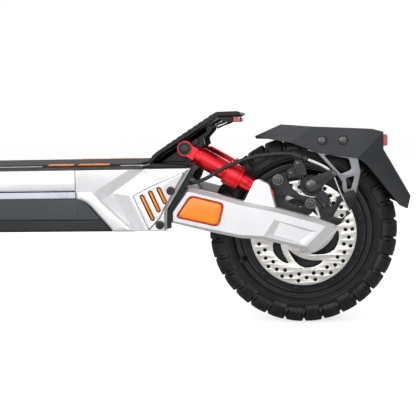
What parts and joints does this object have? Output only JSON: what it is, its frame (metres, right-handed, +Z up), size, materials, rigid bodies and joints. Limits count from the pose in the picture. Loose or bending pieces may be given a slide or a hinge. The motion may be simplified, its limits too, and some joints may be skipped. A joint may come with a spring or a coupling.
{
  "type": "electric kick scooter",
  "caption": "Off-road electric kick scooter: silver-railed deck, red shock absorbers on swing arms, knobbly tyres, disc brakes, raised rear footrest and a folding stem.",
  "frame": {"origin": "on the ground, under the middle of the scooter's overall box", "axes": "+X to the rear, +Y to the rider's right, +Z up"},
  "size_m": [1.2424, 0.6, 1.1886],
  "materials": {
    "tyre": "dry tread rubber",
    "motor_black": "satin black paint",
    "disc_steel": "ground steel",
    "axle_steel": "turned steel",
    "silver": "satin silver paint",
    "black_alu": "black anodised",
    "box_black": "black powder coat",
    "deck_rubber": "grip surface",
    "orange": "orange reflector",
    "red_anodised": "red anodised",
    "red_lens": "red lens",
    "black_plastic": "fine texture",
    "bracket_grey": "sandblasted",
    "screw_steel": "button-head screws",
    "battery_blue": "heat-shrink wrap",
    "grip_rubber": "soft grip",
    "lamp": "lamp"
  },
  "bodies": {
    "chassis": {"side_rails": "silver", "battery_box": "box_black", "deck_plate": "black_alu", "deck_mat": "deck_rubber", "battery_pack": "battery_blue", "controller": "black_alu", "rear_castings": "silver", "vent_covers": "silver", "vent_inserts": "orange", "rear_bulkhead": "black_alu", "kickplate": "black_alu", "kickplate_lamps": "red_lens", "front_neck": "black_alu", "chassis_bolts": "screw_steel"},
    "swingarm": {"swingarm_left": "silver", "swingarm_right": "silver", "swingarm_bridge": "black_alu", "reflectors": "orange", "axle_rear": "axle_steel", "rear_fender": "black_plastic", "fender_brackets": "bracket_grey", "tail_light": "red_lens", "swingarm_bolts": "screw_steel", "caliper_plate_rear": "black_alu", "caliper_rear": "black_alu", "brake_cable_rear": "black_plastic"},
    "rear_wheel": {"tyre_rear": "tyre", "hub_rear": "motor_black", "motor_covers_rear": "motor_black", "brake_disc_rear": "disc_steel"},
    "rear_shock_upper": {"shock_cylinders_rear": "red_anodised"},
    "rear_shock_lower": {"shock_sleeves_rear": "red_anodised"},
    "rear_caliper_arm": {"caliper_arm_rear": "black_alu"},
    "steering": {"fork": "black_alu", "fold_base": "black_alu", "front_fender": "black_plastic", "headlight": "lamp", "shock_cylinders_front": "red_anodised"},
    "front_arms": {"front_arms": "silver", "axle_front": "axle_steel", "caliper_front": "black_alu"},
    "front_wheel": {"tyre_front": "tyre", "hub_front": "motor_black", "motor_covers_front": "motor_black", "brake_disc_front": "disc_steel"},
    "front_shock_lower": {"shock_sleeves_front": "red_anodised"},
    "front_caliper_arm": {"caliper_arm_front": "black_alu"},
    "stem": {"stem": "black_alu", "handlebar": "black_alu", "grips": "grip_rubber", "display": "black_plastic", "lever_perches": "black_alu", "bar_controls": "black_plastic"},
    "fold_latch": {"fold_latch": "red_anodised"},
    "brake_lever_left": {"brake_lever_left": "black_alu"},
    "brake_lever_right": {"brake_lever_right": "black_alu"},
    "throttle_paddle": {"throttle_paddle": "orange"},
    "horn_button": {"horn_button": "orange"},
    "light_button": {"light_button": "lamp"},
    "kickstand": {"kickstand": "black_alu"}
  },
  "joints": [
    {"name": "rear_suspension", "type": "hinge", "parent": "chassis", "child": "swingarm", "pos_m": [0.31024, 0, 0.189], "axis": [0, -1, 0], "range_deg": [0, 8], "stiffness_Nm_per_rad": 300, "springref_deg": -14.32},
    {"name": "rear_wheel_spin", "type": "hinge", "parent": "swingarm", "child": "rear_wheel", "pos_m": [0.47924, 0, 0.1275], "axis": [0, 1, 0], "continuous": true},
    {"name": "rear_shock_tilt", "type": "hinge", "parent": "chassis", "child": "rear_shock_upper", "pos_m": [0.32374, 0, 0.2405], "axis": [0, -1, 0], "range_deg": [0, 7.5]},
    {"name": "rear_shock_stroke", "type": "slide", "parent": "rear_shock_upper", "child": "rear_shock_lower", "axis": [0.8717, 0, -0.4901], "range_m": [-0.0076, 0]},
    {"name": "rear_caliper_pull", "type": "hinge", "parent": "swingarm", "child": "rear_caliper_arm", "pos_m": [0.49024, -0.078, 0.192], "axis": [0, -1, 0], "range_deg": [0, 10], "stiffness_Nm_per_rad": 1, "springref_deg": -17.19},
    {"name": "steering", "type": "hinge", "parent": "chassis", "child": "steering", "pos_m": [-0.43195, 0, 0.34724], "axis": [0.2079, 0, 0.9781], "range_deg": [-45, 45]},
    {"name": "front_suspension", "type": "hinge", "parent": "steering", "child": "front_arms", "pos_m": [-0.37576, 0, 0.165], "axis": [0, 1, 0], "range_deg": [0, 8], "stiffness_Nm_per_rad": 200, "springref_deg": -14.32},
    {"name": "front_wheel_spin", "type": "hinge", "parent": "front_arms", "child": "front_wheel", "pos_m": [-0.48076, 0, 0.1275], "axis": [0, 1, 0], "continuous": true},
    {"name": "front_shock_stroke", "type": "slide", "parent": "steering", "child": "front_shock_lower", "axis": [-0.1758, 0, -0.9844], "range_m": [-0.0165, 0]},
    {"name": "front_caliper_pull", "type": "hinge", "parent": "front_arms", "child": "front_caliper_arm", "pos_m": [-0.54591, -0.078, 0.13357], "axis": [0, 1, 0], "range_deg": [0, 10], "stiffness_Nm_per_rad": 1, "springref_deg": -17.19},
    {"name": "stem_fold", "type": "hinge", "parent": "steering", "child": "stem", "pos_m": [-0.396, 0, 0.40094], "axis": [0, 1, 0], "range_deg": [0, 82]},
    {"name": "fold_latch_swing", "type": "hinge", "parent": "stem", "child": "fold_latch", "pos_m": [-0.44775, 0, 0.43648], "axis": [0, 1, 0], "range_deg": [0, 70]},
    {"name": "brake_lever_left_pull", "type": "hinge", "parent": "stem", "child": "brake_lever_left", "pos_m": [-0.29472, -0.158, 1.15639], "axis": [0.2079, 0, 0.9781], "range_deg": [0, 14], "stiffness_Nm_per_rad": 1.5, "springref_deg": -17.19},
    {"name": "brake_lever_right_pull", "type": "hinge", "parent": "stem", "child": "brake_lever_right", "pos_m": [-0.29472, 0.158, 1.15639], "axis": [-0.2079, 0, -0.9781], "range_deg": [0, 14], "stiffness_Nm_per_rad": 1.5, "springref_deg": -17.19},
    {"name": "throttle_push", "type": "hinge", "parent": "stem", "child": "throttle_paddle", "pos_m": [-0.26147, 0.172, 1.14932], "axis": [0, 1, 0], "range_deg": [0, 30], "stiffness_Nm_per_rad": 0.2, "springref_deg": -22.92},
    {"name": "horn_press", "type": "slide", "parent": "stem", "child": "horn_button", "axis": [-0.9781, 0, 0.2079], "range_m": [0, 0.0015], "stiffness_N_per_m": 400, "springref_m": -0.002},
    {"name": "light_press", "type": "slide", "parent": "stem", "child": "light_button", "axis": [-0.9781, 0, 0.2079], "range_m": [0, 0.0015], "stiffness_N_per_m": 400, "springref_m": -0.002},
    {"name": "kickstand_swing", "type": "hinge", "parent": "chassis", "child": "kickstand", "pos_m": [-0.12076, -0.084, 0.124], "axis": [0, -0.8192, 0.5736], "range_deg": [0, 90]}
  ],
  "couplings": [
    {"joint": "rear_shock_tilt", "follows": "rear_suspension", "ratio": 0.91605},
    {"joint": "rear_shock_stroke", "follows": "rear_suspension", "m_per_rad": -0.052222},
    {"joint": "front_shock_stroke", "follows": "front_suspension", "m_per_rad": -0.11365},
    {"joint": "rear_caliper_pull", "follows": "brake_lever_right_pull", "ratio": 0.7},
    {"joint": "front_caliper_pull", "follows": "brake_lever_left_pull", "ratio": 0.7}
  ]
}
